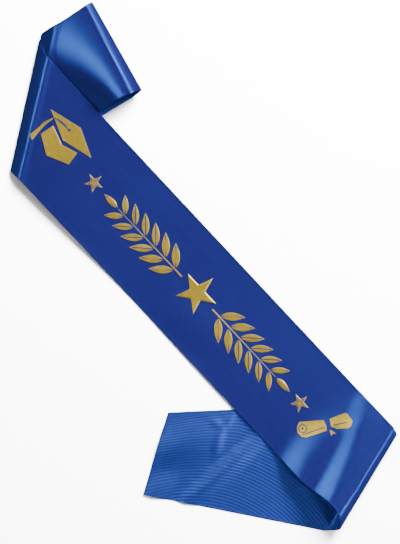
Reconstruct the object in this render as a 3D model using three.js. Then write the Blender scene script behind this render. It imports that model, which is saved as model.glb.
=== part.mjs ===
// A graduation sash: one long satin ribbon, folded loosely where it lies, with a gold foil print.
// Units are millimetres, +Z is up, and the sash rests on z = 0 with the middle of its outline over the origin.
//
// Every point of the ribbon has a place on the flat strip: x runs along it and y across it, from the middle
// of the printed panel. Three soft rolls then carry the flat strip into the shape in which it lies.

import * as THREE from "three";
import { mergeVertices } from "three/addons/utils/BufferGeometryUtils.js";

// Driving sizes of the cloth
const ribbonWidth = 95;
const clothThickness = 1;
const layerGap = 0.8;

// Lengths along the middle of the ribbon, from one roll's outer edge to the next, and to its two cut ends
const panelLength = 463.8;
const tailLength = 228.3;
const underLength = 108.6;
const returnLength = 104;

// How the sash lies
const panelHeading = -46.9;
const rollRadius = 10;
const leftRampLength = 120;

// Sizes of the print
const foilThickness = 0.3;
const foilGap = 0.3;
const capSize = 60;
const scrollSize = 45;
const bigStarRadius = 21;
const smallStarRadius = 10;

// From the left and the lower roll's outer edge to the middle of the cap and of the scroll, along the panel,
// and the space between the stars and the laurel
const capInset = 46.6;
const scrollInset = 61.2;
const ornamentGap = 4;

// Fineness of the facets: steps across the ribbon, and the longest foil facet as a share of ribbonWidth
const stepsAcross = 12;
const foilFacetShare = 0.095;

// One row for each roll. Slant is the angle between its axis and the ribbon's length. Reach is how far it
// stands out sideways, rise is half its height, and cloth is the radius of the cloth that it takes up. Each
// is given at the low edge of the ribbon (y < 0) and at the high edge, as a share of rollRadius. Its outer
// edge lies at the edge share of its height. The bare roll is the stretch of the left one that is made by
// the return layer alone, above the panel.
const rollTable = [
  { name: "lower", slant: 105.2, reach: [0.9, 0.8], rise: [1.1, 0.6], cloth: [1.64, 1.29], edge: 0.5 },
  { name: "left", slant: 124.4, reach: [1.12, 1.72], rise: [0.42, 0.5], cloth: [0.7, 1.62], edge: 0.25 },
  { name: "bare", slant: 124.4, reach: [1.1, 1.2], rise: [0.42, 0.5], cloth: [0.77, 0.84], edge: 0.25 },
  { name: "right", slant: 91, reach: [1.4, 0.9], rise: [1.15, 0.45], cloth: [1.22, 0.88], edge: 0.45 },
];

// The panel swells up to the lower roll in two soft steps. A row gives the middle line of a step, as shares
// of ribbonWidth inside the roll's outer edge at the low edge, the middle and the high edge of the ribbon,
// how long the step is, as a share of ribbonWidth, and its share of the roll's height.
const swellTable = [
  { name: "outer swell", low: 0.92, middle: 0.83, high: 0.44, run: 0.3, lift: 0.42 },
  { name: "inner swell", low: 0.33, middle: 0.39, high: 0.5, run: 0.26, lift: 0.58 },
];

// Soft ridges and hollows. A row gives the middle of one, counted from the end it belongs to (the tail's cut
// end, or the middle of the panel) and from the middle of the width, its half length, half width and height,
// all as shares of ribbonWidth, and the heading of its length in degrees.
const reliefTable = [
  { name: "tail ridge", from: "tail", along: -0.66, across: -0.08, half: [0.72, 0.2], heading: -51, height: 0.06 },
  { name: "tail curl", from: "tail", along: -0.2, across: 0.47, half: [0.6, 0.3], heading: 3, height: 0.07 },
  { name: "wrinkle stem", from: "tail", along: -0.62, across: 0.19, half: [0.2, 0.07], heading: 90, height: 0.02 },
  { name: "wrinkle arm", from: "tail", along: -0.54, across: 0.38, half: [0.12, 0.06], heading: 38, height: 0.02 },
  { name: "wrinkle arm", from: "tail", along: -0.65, across: 0.39, half: [0.12, 0.06], heading: -65, height: 0.02 },
  { name: "tail corner", from: "tail", along: -0.1, across: -0.44, half: [0.4, 0.2], heading: 0, height: 0.03 },
  { name: "panel swell", from: "panel", along: -1.05, across: 0.2, half: [0.5, 0.32], heading: 30, height: 0.012 },
  { name: "panel ripple", from: "panel", along: 0.2, across: -0.2, half: [0.8, 0.3], heading: 12, height: 0.01 },
];

// How far the tail's free upper corner is drawn in, as shares of ribbonWidth, and the share of the tail's
// length at which that starts
const tailPull = { along: 0.08, across: 0.172, start: 0.68 };

// How far the cloth is gathered in across, as shares of ribbonWidth: the under layer's low edge, and the low
// and the high edge of the layer that returns over it
const gather = { under: 0.017, topLow: 0.015, topHigh: 0.035 };

// Where one shape of the cloth goes over into the next, as shares of ribbonWidth: how close to the lower
// roll's rim the panel meets it, how far the panel's rise over the tail reaches past the tail's edge, where
// the tail's relief starts before its cut end and how long it takes, how long the top piece stays up beside
// its roll and how long it takes to come down, and how soon the bare roll starts past the panel's edge
const blend = { atRim: 0.1, overTail: 0.1, tailStart: 1.4, tailRun: 0.5, topFlat: 0.1, topRun: 0.3, bare: 0.1 };

// Corners of the printed figures, as shares of capSize and scrollSize from each figure's middle
const capFigure = {
  board: [[-0.493, 0.19], [-0.006, -0.005], [0.497, 0.13], [0.04, 0.333]],
  crown: [[-0.273, 0.052], [-0.312, -0.182], [-0.007, -0.348], [0.325, -0.192], [0.288, 0.033], [0.027, -0.053]],
  tassel: [[-0.367, 0.12], [-0.408, -0.03], [-0.413, -0.312], [-0.325, -0.35], [-0.355, -0.035], [-0.34, 0.11]],
};
const scrollFigure = {
  left: [
    [-0.456, -0.34], [-0.416, -0.444], [-0.322, -0.522], [-0.189, -0.516], [-0.12, -0.453],
    [0.058, -0.051], [-0.016, 0.009], [-0.149, 0.056],
  ],
  right: [
    [-0.089, 0.151], [0.053, 0.06], [0.169, 0.122], [0.311, 0.304], [0.316, 0.384],
    [0.258, 0.476], [0.073, 0.498], [0.033, 0.464],
  ],
  bow: [[0.08, -0.013], [0.2, -0.076], [0.178, -0.007], [0.249, 0.062], [0.133, 0.053], [0.08, 0.027]],
  eye: { along: -0.307, across: -0.38, radius: 0.05, sides: 8 },
};

// The laurel sprig: a leaf's length and width and the stem's width as shares of the sprig's length, its pairs
// of leaves and their angle to the stem in degrees, where the first pair stands as a share of the pitch, how
// much narrower the last pair and the stem are, the leaf at the tip and the bare end of the stem as shares
// of a leaf's length and width
const laurelFigure = {
  leafLength: 0.245,
  leafWidth: 0.082,
  stemWidth: 0.02,
  pairs: 6,
  leafAngle: 43,
  firstPair: 0.35,
  leafTaper: 0.3,
  stemTaper: 0.5,
  tip: { length: 0.75, width: 0.8 },
  stub: 0.2,
};

// How far across the panel the cap and the scroll stand, as shares of ribbonWidth from its middle
const printAcross = { cap: 0.063, scroll: 0.032 };

const radians = THREE.MathUtils.degToRad;
const lerp = THREE.MathUtils.lerp;

/** Smooth step from 0 at t <= 0 to 1 at t >= 1. */
function ease(t) {
  return THREE.MathUtils.smoothstep(t, 0, 1);
}

/** A soft roll of the ribbon: it maps places on the flat strip to the plan in which the strip lies. */
class Roll {
  constructor(row, station, way, inset = 0) {
    const scaled = (pair) => pair.map((share) => share * rollRadius);
    const [reachLow, reachHigh] = scaled(row.reach);
    const axis = new THREE.Vector2(Math.cos(radians(row.slant)), Math.sin(radians(row.slant)));
    const outward = new THREE.Vector2(axis.y, -axis.x).multiplyScalar(way);
    const halfSpan = ribbonWidth / 2 / Math.sin(radians(row.slant));
    const middle = new THREE.Vector2(station, 0);

    // The roll starts at the rim line, which lies its reach inside the outer edge
    this.edge = row.edge;
    this.low = middle.clone().addScaledVector(axis, -halfSpan).addScaledVector(outward, -reachLow);
    const high = middle.clone().addScaledVector(axis, halfSpan).addScaledVector(outward, -reachHigh);
    this.rimLength = this.low.distanceTo(high);
    this.rim = high.clone().sub(this.low).normalize();
    this.out = new THREE.Vector2(this.rim.y, -this.rim.x).multiplyScalar(way);

    this.reach = scaled(row.reach).map((size) => size - inset);
    this.rise = scaled(row.rise).map((size) => size - inset);
    this.cloth = scaled(row.cloth).map((size) => size - inset);

    // Half of the cloth lies on either side of the fold line, which mirrors the strip onto itself
    const quarter = this.cloth.map((radius) => (Math.PI / 2) * radius);
    this.foldLow = this.low.clone().addScaledVector(this.out, quarter[0]);
    const foldHigh = high.clone().addScaledVector(this.out, quarter[1]);
    this.foldAxis = foldHigh.sub(this.foldLow).normalize();
    this.foldOut = new THREE.Vector2(this.foldAxis.y, -this.foldAxis.x).multiplyScalar(way);
  }

  /** Mirror a flat place over the fold line. */
  mirror(place) {
    return place.clone().addScaledVector(this.foldOut, -2 * this.pastFold(place));
  }

  /** How far a flat place lies past the fold line. */
  pastFold(place) {
    return place.clone().sub(this.foldLow).dot(this.foldOut);
  }

  /**
   * Roll up a flat place: its plan, the share of the half turn that it has gone round, its share along the
   * rim line, how far inside the rim line it lies, and the height of the roll there.
   */
  place(flat) {
    const beyond = this.pastFold(flat) > 0;
    const near = beyond ? this.mirror(flat) : flat;
    const offset = near.clone().sub(this.low);
    const along = offset.dot(this.rim);
    const share = along / this.rimLength;
    const over = offset.dot(this.out);
    const quarter = (Math.PI / 2) * lerp(this.cloth[0], this.cloth[1], share);
    const bent = over < 0 ? 0 : Math.min(1, over / quarter);
    const sideways = over < 0 ? over : lerp(this.reach[0], this.reach[1], share) * Math.sin((bent * Math.PI) / 2);
    const plan = this.low.clone().addScaledVector(this.rim, along).addScaledVector(this.out, sideways);
    const turn = beyond ? 1 - bent / 2 : bent / 2;
    return { plan, turn, share, inside: -over, height: 2 * lerp(this.rise[0], this.rise[1], share) };
  }

  /** Height on the way round: a quarter wave from the start's height to the outer edge's, and one to the end's. */
  heightRound(start, end, turn) {
    const edge = Math.min(start, end) + this.edge * Math.abs(end - start);
    const swing = Math.cos(Math.PI * turn);
    return turn < 0.5 ? lerp(edge, start, swing) : lerp(edge, end, -swing);
  }

  /** Where the line at one share of the half turn crosses the two edges of the flat strip. */
  section(turn) {
    const shift = this.cloth.map((radius) => (turn - 0.5) * Math.PI * radius);
    const low = this.foldLow.clone().addScaledVector(this.foldOut, shift[0]);
    const foldHigh = this.foldLow.clone().addScaledVector(this.foldAxis, this.rimLength);
    const high = foldHigh.addScaledVector(this.foldOut, shift[1]);
    const stationAt = (y) => lerp(low.x, high.x, (y - low.y) / (high.y - low.y));
    return { low: stationAt(-ribbonWidth / 2), high: stationAt(ribbonWidth / 2) };
  }
}

const rollNamed = Object.fromEntries(rollTable.map((row) => [row.name, row]));
const layerStep = clothThickness + layerGap;
const restHeight = clothThickness / 2;
const panelHalf = panelLength / 2;
const tailEnd = panelHalf + tailLength;
const rightStation = -(panelHalf + underLength);
const returnEnd = rightStation - returnLength;

const lowerRoll = new Roll(rollNamed.lower, panelHalf, 1);
const leftRoll = new Roll(rollNamed.left, -panelHalf, -1);
const rightRoll = new Roll(rollNamed.right, rightStation, -1);
const innerRoll = new Roll(rollNamed.left, -panelHalf, -1, layerStep);
const bareRoll = new Roll(rollNamed.bare, -panelHalf, -1);

// Stations of the print along the panel
const capStation = capInset - panelHalf;
const scrollStation = panelHalf - scrollInset;
const smallStarStation = scrollStation - scrollSize / 2 - smallStarRadius;
const laurelStart = bigStarRadius + ornamentGap;
const laurelLength = smallStarStation - smallStarRadius - ornamentGap - laurelStart;

/** Soft relief at a flat place: a cosine bump for each row of the relief table that belongs to the stretch. */
function relief(flat, stretch) {
  const origin = stretch === "tail" ? tailEnd : 0;
  let height = 0;
  for (const row of reliefTable.filter(({ from }) => from === stretch)) {
    const x = flat.x - origin - row.along * ribbonWidth;
    const y = flat.y - row.across * ribbonWidth;
    const turn = radians(row.heading);
    const u = (x * Math.cos(turn) + y * Math.sin(turn)) / (row.half[0] * ribbonWidth);
    const v = (y * Math.cos(turn) - x * Math.sin(turn)) / (row.half[1] * ribbonWidth);
    const distance = Math.min(1, Math.hypot(u, v));
    height += row.height * ribbonWidth * 0.5 * (1 + Math.cos(Math.PI * distance));
  }
  return height;
}

/** Flat station of a curved line across the ribbon, from its three stations at y = low, middle and high. */
function curvedStation(low, middle, high, y) {
  const v = (2 * y) / ribbonWidth;
  return middle + ((high - low) / 2) * v + ((high + low) / 2 - middle) * v * v;
}

/** How high the panel lies: down on the floor, over the tail, and up to the rolls at its two ends. */
function panelHeight(flat) {
  const left = leftRoll.place(flat);
  const lower = lowerRoll.place(flat);
  const leftRamp = leftRampLength * (1 + Math.max(0, left.share));
  const toLeft = left.height * ease(1 - left.inside / leftRamp);

  const outerEdge = panelHalf + flat.y / Math.tan(radians(rollNamed.lower.slant));
  let swelling = 0;
  for (const row of swellTable) {
    const line = outerEdge - ribbonWidth * curvedStation(row.low, row.middle, row.high, flat.y);
    swelling += row.lift * ease((flat.x - line) / (row.run * ribbonWidth) + 0.5);
  }
  const atRim = ease(1 - lower.inside / (blend.atRim * ribbonWidth));
  const toLower = lerp(swelling, 1, atRim);

  // The tail's upper edge lies under the panel along the line that the lower roll mirrors
  const pastTail = lowerRoll.mirror(flat).y / ribbonWidth - 0.5;
  const overTail = layerStep * ease(1 + blend.overTail - pastTail) * (1 - toLower);
  return restHeight + toLeft + lower.height * toLower + overTail + relief(flat, "panel");
}

/** How high the tail lies: flat on the floor under the panel, with soft ridges past it. */
function tailHeight(flat) {
  const clear = ease(((flat.x - tailEnd) / ribbonWidth + blend.tailStart) / blend.tailRun);
  return restHeight + clear * relief(flat, "tail");
}

/** Draw in the free upper corner of the tail, more towards its cut end. */
function pullTail(flat) {
  const start = panelHalf + tailPull.start * tailLength;
  const toEnd = THREE.MathUtils.clamp((flat.x - start) / (tailEnd - start), 0, 1);
  const toTop = THREE.MathUtils.clamp(flat.y / ribbonWidth + 0.5, 0, 1);
  return new THREE.Vector2(
    flat.x - tailPull.along * ribbonWidth * toEnd * toTop,
    flat.y - tailPull.across * ribbonWidth * toEnd * toTop * toTop,
  );
}

/** Gather the cloth past the left roll in across: the under layer's low edge, and both edges of the return. */
function drawIn(flat) {
  const pastLeft = -flat.x - panelHalf;
  const toUnder = ease(pastLeft / underLength);
  const toTop = ease((pastLeft - underLength) / (blend.topRun * ribbonWidth));
  const atHigh = flat.y / ribbonWidth + 0.5;
  const raised = (1 - atHigh) * (gather.under * toUnder + gather.topLow * toTop);
  const lowered = atHigh * gather.topHigh * toTop;
  return new THREE.Vector2(flat.x, flat.y + ribbonWidth * (raised - lowered));
}

/** The lying place of the return layer, which runs back under the panel and into the left roll. */
function returnPlace(right) {
  const over = leftRoll.mirror(right.plan);
  if (right.turn < 1) {
    return { plan: over, z: rightRoll.heightRound(restHeight, restHeight + right.height, right.turn) };
  }
  const inner = innerRoll.place(over);
  const bare = bareRoll.place(over);
  const covered = ease((0.5 - over.y / ribbonWidth) / blend.bare + 1);
  const toRight = ease(1 - (right.inside / ribbonWidth - blend.topFlat) / blend.topRun);
  const top = lerp(panelHeight(over) - layerStep, restHeight + right.height, toRight);
  const low = restHeight + layerStep;
  const innerHeight = innerRoll.heightRound(top, low, inner.turn);
  const bareHeight = bareRoll.heightRound(top, low, bare.turn);
  return { plan: bare.plan.lerp(inner.plan, covered), z: lerp(bareHeight, innerHeight, covered) };
}

/** The middle of the cloth at a flat place, as it lies. */
function clothMiddle(flat) {
  let plan;
  let z;
  if (flat.x >= 0) {
    const rolled = lowerRoll.place(pullTail(flat));
    plan = rolled.plan;
    if (rolled.turn === 0) z = panelHeight(flat);
    else if (rolled.turn === 1) z = tailHeight(flat);
    else z = lowerRoll.heightRound(restHeight + rolled.height, restHeight, rolled.turn);
  } else if (rightRoll.place(drawIn(flat)).turn > 0) {
    ({ plan, z } = returnPlace(rightRoll.place(drawIn(flat))));
  } else {
    const { turn, height } = leftRoll.place(flat);
    plan = leftRoll.place(drawIn(flat)).plan;
    z = turn === 0 ? panelHeight(flat) : leftRoll.heightRound(restHeight + height, restHeight, turn);
  }
  const heading = radians(panelHeading);
  return new THREE.Vector3(
    plan.x * Math.cos(heading) - plan.y * Math.sin(heading),
    plan.x * Math.sin(heading) + plan.y * Math.cos(heading),
    z,
  );
}

/** A point at a distance from the middle of the cloth, on its satin side where the distance is positive. */
function clothPoint(flat, distance) {
  const probe = ribbonWidth / 240;
  const at = (dx, dy) => clothMiddle(new THREE.Vector2(flat.x + dx, flat.y + dy));
  const alongRibbon = at(probe, 0).sub(at(-probe, 0));
  const acrossRibbon = at(0, probe).sub(at(0, -probe));
  const normal = alongRibbon.cross(acrossRibbon).normalize();
  return clothMiddle(flat).addScaledVector(normal, distance);
}

/** Join corner points and triangles into one closed geometry. */
function closedGeometry(points, triangles) {
  const geometry = new THREE.BufferGeometry();
  geometry.setAttribute("position", new THREE.Float32BufferAttribute(points.flatMap((p) => [p.x, p.y, p.z]), 3));
  geometry.setIndex(triangles.flat());
  const merged = mergeVertices(geometry, 1e-4);
  merged.computeVertexNormals();
  return merged;
}

/** The sections of the ribbon, from the tail's cut end to the hidden one, each with its two edge stations. */
function ribbonSections() {
  const square = (station) => ({ low: station, high: station });
  const swellStart = square(panelHalf - ribbonWidth * 1.05);
  const stops = [
    { at: square(tailEnd), steps: 0 },
    { at: lowerRoll.section(1), steps: 26 },
    { at: lowerRoll.section(0), steps: 12 },
    { at: swellStart, steps: 16 },
    { at: leftRoll.section(0), steps: 34 },
    { at: leftRoll.section(1), steps: 12 },
    { at: rightRoll.section(0), steps: 8 },
    { at: rightRoll.section(1), steps: 10 },
    { at: square(returnEnd), steps: 26 },
  ];
  const sections = [stops[0].at];
  for (let i = 1; i < stops.length; i += 1) {
    const { low, high } = stops[i - 1].at;
    for (let step = 1; step <= stops[i].steps; step += 1) {
      const share = step / stops[i].steps;
      sections.push({ low: lerp(low, stops[i].at.low, share), high: lerp(high, stops[i].at.high, share) });
    }
  }
  return sections;
}

/** The ribbon: its satin side, its wrong side and the thin edge all round, as one closed body. */
function ribbonGeometry() {
  const sections = ribbonSections();
  const columns = stepsAcross + 1;
  const points = [];
  for (const distance of [clothThickness / 2, -clothThickness / 2]) {
    for (const section of sections) {
      for (let j = 0; j < columns; j += 1) {
        const share = j / stepsAcross;
        const flat = new THREE.Vector2(lerp(section.low, section.high, share), (share - 0.5) * ribbonWidth);
        points.push(clothPoint(flat, distance));
      }
    }
  }
  const below = sections.length * columns;
  const triangles = [];
  const quad = (a, b, c, d) => triangles.push([a, b, c], [a, c, d]);
  for (let i = 0; i + 1 < sections.length; i += 1) {
    for (let j = 0; j < stepsAcross; j += 1) {
      const a = i * columns + j;
      quad(a, a + 1, a + columns + 1, a + columns);
      quad(below + a, below + a + columns, below + a + columns + 1, below + a + 1);
    }
    const low = i * columns;
    const high = low + stepsAcross;
    quad(low, low + columns, below + low + columns, below + low);
    quad(high, below + high, below + high + columns, high + columns);
  }
  const last = (sections.length - 1) * columns;
  for (let j = 0; j < stepsAcross; j += 1) {
    quad(j, below + j, below + j + 1, j + 1);
    quad(last + j, last + j + 1, below + last + j + 1, below + last + j);
  }
  return closedGeometry(points, triangles);
}

/** Cut every edge longer than the limit at its middle, on both its sides alike, until none is left. */
function splitLongEdges(points, triangles, limit) {
  const middles = new Map();
  const middleOf = (a, b) => {
    if (points[a].distanceTo(points[b]) <= limit) return -1;
    const key = a < b ? `${a} ${b}` : `${b} ${a}`;
    if (!middles.has(key)) {
      middles.set(key, points.length);
      points.push(points[a].clone().lerp(points[b], 0.5));
    }
    return middles.get(key);
  };
  let pieces = triangles;
  let changed = true;
  while (changed) {
    changed = false;
    const next = [];
    for (const triangle of pieces) {
      const cuts = triangle.map((corner, i) => middleOf(corner, triangle[(i + 1) % 3]));
      const count = cuts.filter((cut) => cut >= 0).length;
      changed ||= count > 0;
      const first = count === 1 ? cuts.findIndex((cut) => cut >= 0) : Math.max(0, (cuts.indexOf(-1) + 1) % 3);
      const turned = (list) => [0, 1, 2].map((i) => list[(i + first) % 3]);
      const [a, b, c] = turned(triangle);
      const [ab, bc, ca] = turned(cuts);
      if (count === 0) next.push([a, b, c]);
      else if (count === 1) next.push([a, ab, c], [ab, b, c]);
      else if (count === 2) next.push([a, ab, c], [ab, bc, c], [ab, b, bc]);
      else next.push([a, ab, ca], [ab, b, bc], [ca, bc, c], [ab, bc, ca]);
    }
    pieces = next;
  }
  return pieces;
}

/** A patch of foil: a flat outline with its holes, laid on the satin and closed all round. */
function foilGeometry(outline, holes = []) {
  const flat = [outline, ...holes].flat().map((p) => p.clone());
  const faces = THREE.ShapeUtils.triangulateShape(outline, holes);
  const triangles = splitLongEdges(flat, faces, foilFacetShare * ribbonWidth);
  const lift = clothThickness / 2 + foilGap;
  const points = [lift + foilThickness, lift].flatMap((distance) => flat.map((p) => clothPoint(p, distance)));
  const below = flat.length;
  const edges = new Set(triangles.flatMap(([a, b, c]) => [`${a} ${b}`, `${b} ${c}`, `${c} ${a}`]));
  const closed = [];
  for (const [a, b, c] of triangles) {
    closed.push([a, b, c], [below + a, below + c, below + b]);
    for (const [start, end] of [[a, b], [b, c], [c, a]]) {
      if (edges.has(`${end} ${start}`)) continue;
      closed.push([start, below + end, end], [start, below + start, below + end]);
    }
  }
  return closedGeometry(points, closed);
}

/** Points of a figure's outline, given as shares of its size, at a station of the panel and a share across it. */
function figureOutline(corners, size, station, across) {
  const middle = new THREE.Vector2(station, across * ribbonWidth);
  const outline = corners.map(([x, y]) => new THREE.Vector2(x, y).multiplyScalar(size).add(middle));
  return THREE.ShapeUtils.isClockWise(outline) ? outline.reverse() : outline;
}

/** A five-point star: its corners lie by turns on the outer circle and on the golden-ratio inner one. */
function starOutline(radius, station) {
  const points = 5;
  const innerShare = 0.382;
  const corners = Array.from({ length: 2 * points }, (_, i) => {
    const angle = Math.PI / 2 + (i * Math.PI) / points;
    const length = i % 2 ? innerShare : 1;
    return [length * Math.cos(angle), length * Math.sin(angle)];
  });
  return figureOutline(corners, radius, station, 0);
}

/** Half of a leaf's outline, from its base to its tip, as shares of its length and half width. */
function leafSide(side) {
  const steps = 5;
  return Array.from({ length: steps }, (_, i) => {
    const share = (i + 0.5) / steps;
    return [share, side * Math.sin(Math.PI * share ** 0.85)];
  });
}

/**
 * A laurel sprig: a stem with pairs of leaves and one leaf at its tip, in one outline. Leaves and stem taper
 * with the square of the place along it.
 */
function laurelOutline(way) {
  const { pairs, leafAngle, firstPair, leafTaper, stemTaper, tip, stub } = laurelFigure;
  const leafLength = laurelFigure.leafLength * laurelLength;
  const leafWidth = laurelFigure.leafWidth * laurelLength;
  const stemWidth = laurelFigure.stemWidth * laurelLength;
  const pitch = (laurelLength - leafLength * tip.length) / pairs;
  const corners = [];
  const addLeaf = (station, height, angle, length, width) => {
    const root = new THREE.Vector2(station, height);
    for (const [x, y] of [...leafSide(-1), [1, 0], ...leafSide(1).reverse()]) {
      const corner = new THREE.Vector2(x * leafLength * length, (y * leafWidth * width) / 2);
      corners.push(corner.rotateAround(new THREE.Vector2(), radians(angle)).add(root));
    }
  };
  const leaves = Array.from({ length: pairs }, (_, i) => ({
    station: (i + firstPair) * pitch,
    scale: 1 - leafTaper * (i / pairs) ** 2,
    stem: (stemWidth / 2) * (1 - stemTaper * (i / pairs) ** 2),
  }));
  corners.push(new THREE.Vector2(-leafLength * stub, -stemWidth / 2));
  for (const { station, scale, stem } of leaves) addLeaf(station, -stem, -leafAngle, scale, scale);
  addLeaf(pairs * pitch, 0, 0, tip.length, tip.width);
  for (const { station, scale, stem } of leaves.reverse()) addLeaf(station, stem, leafAngle, scale, scale);
  corners.push(new THREE.Vector2(-leafLength * stub, stemWidth / 2));
  const outline = corners.map(({ x, y }) => new THREE.Vector2(way * (laurelStart + x), y));
  return THREE.ShapeUtils.isClockWise(outline) ? outline.reverse() : outline;
}

/** The round eye of the scroll's rolled end. */
function scrollEye() {
  const { along, across, radius, sides } = scrollFigure.eye;
  const corners = Array.from({ length: sides }, (_, i) => {
    const angle = (i * 2 * Math.PI) / sides;
    return [along + radius * Math.cos(angle), across + radius * Math.sin(angle)];
  });
  return figureOutline(corners, scrollSize, scrollStation, printAcross.scroll).reverse();
}

const satin = new THREE.MeshStandardMaterial({ color: 0x1f45a8, roughness: 0.38, metalness: 0, side: THREE.DoubleSide });
const foil = new THREE.MeshStandardMaterial({ color: 0xd8b95e, roughness: 0.32, metalness: 1 });

const sash = new THREE.Group();

/** Add one named piece to the sash. */
function addPiece(name, geometry, material) {
  const mesh = new THREE.Mesh(geometry, material.clone());
  mesh.name = name;
  sash.add(mesh);
}

addPiece("ribbon", ribbonGeometry(), satin);
for (const [name, corners] of Object.entries(capFigure)) {
  addPiece(`cap_${name}`, foilGeometry(figureOutline(corners, capSize, capStation, printAcross.cap)), foil);
}
for (const name of ["left", "right", "bow"]) {
  const holes = name === "left" ? [scrollEye()] : [];
  const outline = figureOutline(scrollFigure[name], scrollSize, scrollStation, printAcross.scroll);
  addPiece(`scroll_${name}`, foilGeometry(outline, holes), foil);
}
addPiece("star_middle", foilGeometry(starOutline(bigStarRadius, 0)), foil);
for (const [side, way] of [["left", -1], ["right", 1]]) {
  addPiece(`laurel_${side}`, foilGeometry(laurelOutline(way)), foil);
  addPiece(`star_${side}`, foilGeometry(starOutline(smallStarRadius, way * smallStarStation)), foil);
}

// Stand the middle of the outline over the origin, with the lowest point on z = 0
const box = new THREE.Box3().setFromObject(sash, true);
const middle = box.getCenter(new THREE.Vector3());
sash.position.set(-middle.x, -middle.y, -box.min.z);

export default sash;
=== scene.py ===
"""A folded graduation sash: royal blue satin ribbon with a gold foil print, lying on a pale floor.

The ribbon is one strip of cloth. Each point of it has a place on the flat strip, x along it and y across it,
in millimetres from the middle of the printed panel. Three soft rolls and a few ridges carry that flat place
into the shape in which the sash lies, and the foil figures ride on the same surface.
"""

import logging
import math
from dataclasses import dataclass, field
from enum import Enum
from typing import Any

import bpy
import numpy as np
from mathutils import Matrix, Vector


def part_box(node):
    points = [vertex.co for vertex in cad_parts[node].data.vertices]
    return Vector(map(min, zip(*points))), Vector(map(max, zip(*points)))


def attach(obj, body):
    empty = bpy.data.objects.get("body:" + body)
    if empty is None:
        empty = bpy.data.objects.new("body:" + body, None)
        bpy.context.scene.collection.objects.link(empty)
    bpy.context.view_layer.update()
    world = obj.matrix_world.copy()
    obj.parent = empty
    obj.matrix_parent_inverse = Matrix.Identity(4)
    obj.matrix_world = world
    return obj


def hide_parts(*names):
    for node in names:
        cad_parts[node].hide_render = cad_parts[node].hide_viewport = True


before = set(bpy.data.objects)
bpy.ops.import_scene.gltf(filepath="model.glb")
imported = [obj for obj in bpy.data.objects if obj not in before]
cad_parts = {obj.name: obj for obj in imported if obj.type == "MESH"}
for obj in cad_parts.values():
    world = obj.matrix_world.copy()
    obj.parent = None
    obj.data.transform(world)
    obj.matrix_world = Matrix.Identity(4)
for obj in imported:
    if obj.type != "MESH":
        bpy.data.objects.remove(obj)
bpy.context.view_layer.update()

LOG = logging.getLogger("sash")
MM = 0.001


class Side(Enum):
    """The two faces of the satin ribbon, as material places on its mesh."""

    SATIN = 0
    WRONG = 1


class Stretch(Enum):
    """The stretch of the ribbon that a ridge belongs to."""

    TAIL = "tail"
    PANEL = "panel"


def linear_colour(hex_code: str) -> tuple[float, float, float, float]:
    """Turn an sRGB hex colour into linear light.

    Args:
        hex_code: The colour as "#rrggbb".

    Returns:
        Red, green, blue and a full alpha.
    """
    channels = [int(hex_code[i : i + 2], 16) / 255 for i in (1, 3, 5)]
    return (*(c / 12.92 if c <= 0.04045 else ((c + 0.055) / 1.055) ** 2.4 for c in channels), 1.0)


def ease(t: np.ndarray) -> np.ndarray:
    """Smooth step, 3t² - 2t³, from 0 at t <= 0 to 1 at t >= 1."""
    t = np.clip(t, 0.0, 1.0)
    return t * t * (3.0 - 2.0 * t)


def mix(start: Any, end: Any, share: np.ndarray) -> np.ndarray:
    """The value at a share of the way from start to end."""
    return start + (end - start) * share


# The cloth


@dataclass(frozen=True)
class ClothSizes:
    """Driving sizes of the ribbon, in millimetres, and its heading in degrees."""

    width: float = 95.0
    thickness: float = 0.36
    layer_step: float = 1.8
    panel: float = 463.8
    tail: float = 228.3
    under: float = 108.6
    returned: float = 104.0
    heading: float = -46.9
    roll_radius: float = 10.0
    left_ramp: float = 140.0

    @property
    def panel_half(self) -> float:
        """Station of the lower roll's outer edge."""
        return self.panel / 2

    @property
    def tail_end(self) -> float:
        """Station of the tail's cut end."""
        return self.panel_half + self.tail

    @property
    def right_station(self) -> float:
        """Station of the right roll's outer edge."""
        return -(self.panel_half + self.under)

    @property
    def return_end(self) -> float:
        """Station of the hidden cut end."""
        return self.right_station - self.returned

    @property
    def length(self) -> float:
        """Length of the ribbon from cut end to cut end."""
        return self.tail_end - self.return_end

    @property
    def rest(self) -> float:
        """Height of the middle of cloth that lies on the floor."""
        return self.thickness / 2


@dataclass(frozen=True)
class RollShape:
    """One soft roll, its values at the low (y < 0) and the high edge as shares of the roll radius, the share
    of its height at which its outer edge lies, and how softly it bends: 0.1 is a crease, 1 is round."""

    slant: float
    reach: tuple[float, float]
    rise: tuple[float, float]
    cloth: tuple[float, float]
    edge_height: float
    bend: float


LOWER_ROLL = RollShape(105.2, (0.9, 0.8), (1.1, 0.6), (1.64, 1.29), 0.5, 0.35)
LEFT_ROLL = RollShape(124.4, (1.12, 1.3), (0.42, 0.5), (0.7, 1.353), 0.25, 0.2)
BARE_ROLL = RollShape(124.4, (1.12, 1.3), (0.42, 0.5), (0.783, 0.873), 0.0, 0.2)
RIGHT_ROLL = RollShape(91.0, (1.25, 0.85), (1.15, 0.55), (1.125, 0.848), 0.4, 0.3)


@dataclass(frozen=True)
class Ridge:
    """A soft ridge or hollow: place, half sizes and height as shares of the width, heading in degrees."""

    stretch: Stretch
    along: float
    across: float
    half: tuple[float, float]
    heading: float
    height: float


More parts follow.
